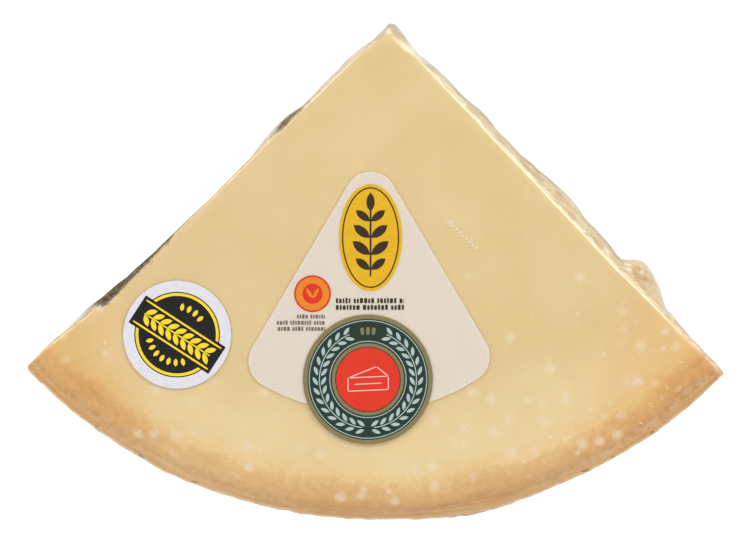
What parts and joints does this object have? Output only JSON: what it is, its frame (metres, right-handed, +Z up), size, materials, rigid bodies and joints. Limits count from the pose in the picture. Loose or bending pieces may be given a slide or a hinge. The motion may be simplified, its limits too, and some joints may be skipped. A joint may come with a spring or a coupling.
{
  "type": "vacuum packed hard cheese wedge",
  "caption": "Eighth of a hard cheese wheel in clear vacuum film, cut face up, with a see-through panel, a round seal and a round sticker on the cut.",
  "frame": {"origin": "middle of the footprint, on the surface that the wedge lies on", "axes": "+Z up out of the cut face, +Y towards the tip, +X along the chord between the two rind corners"},
  "size_m": [0.2964, 0.2116, 0.1007],
  "materials": {
    "cheese": "pale cream cheese, granular where split, with a tan rind",
    "film": "clear shrunk vacuum film, glossy",
    "panel_film": "milky printed film",
    "seal_paper": "coated and printed paper",
    "sticker_paper": "coated and printed paper"
  },
  "bodies": {
    "root": {"cheese_in_film": "cheese", "triangle_panel": "panel_film", "round_seal": "seal_paper", "age_sticker": "sticker_paper"}
  },
  "joints": []
}
